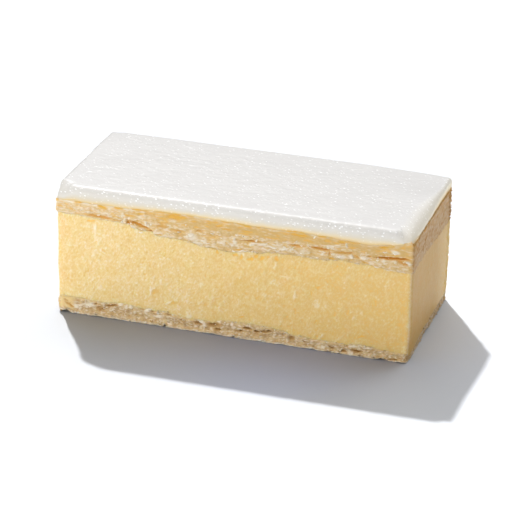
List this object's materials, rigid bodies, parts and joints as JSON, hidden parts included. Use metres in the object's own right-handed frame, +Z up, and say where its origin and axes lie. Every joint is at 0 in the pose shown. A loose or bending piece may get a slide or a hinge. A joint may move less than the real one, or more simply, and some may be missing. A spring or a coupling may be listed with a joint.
{
  "type": "mille feuille slice",
  "caption": "Bar-shaped slice of mille feuille: white icing on flaky pastry, a thick custard cream filling and a thin pastry base, served as cut.",
  "frame": {"origin": "centre of the slice's footprint, on the flat underside of the lower pastry", "axes": "+X along the slice's length, -Y out of the cut front face, +Z up out of the icing"},
  "size_m": [0.117, 0.0512, 0.0435],
  "materials": {
    "icing": "semi-gloss white fondant",
    "pastry": "matte, pale golden baked puff pastry",
    "custard": "satin, pale yellow set custard cream"
  },
  "bodies": {
    "root": {"icing": "icing", "upper_pastry": "pastry", "custard": "custard", "lower_pastry": "pastry"}
  },
  "joints": []
}
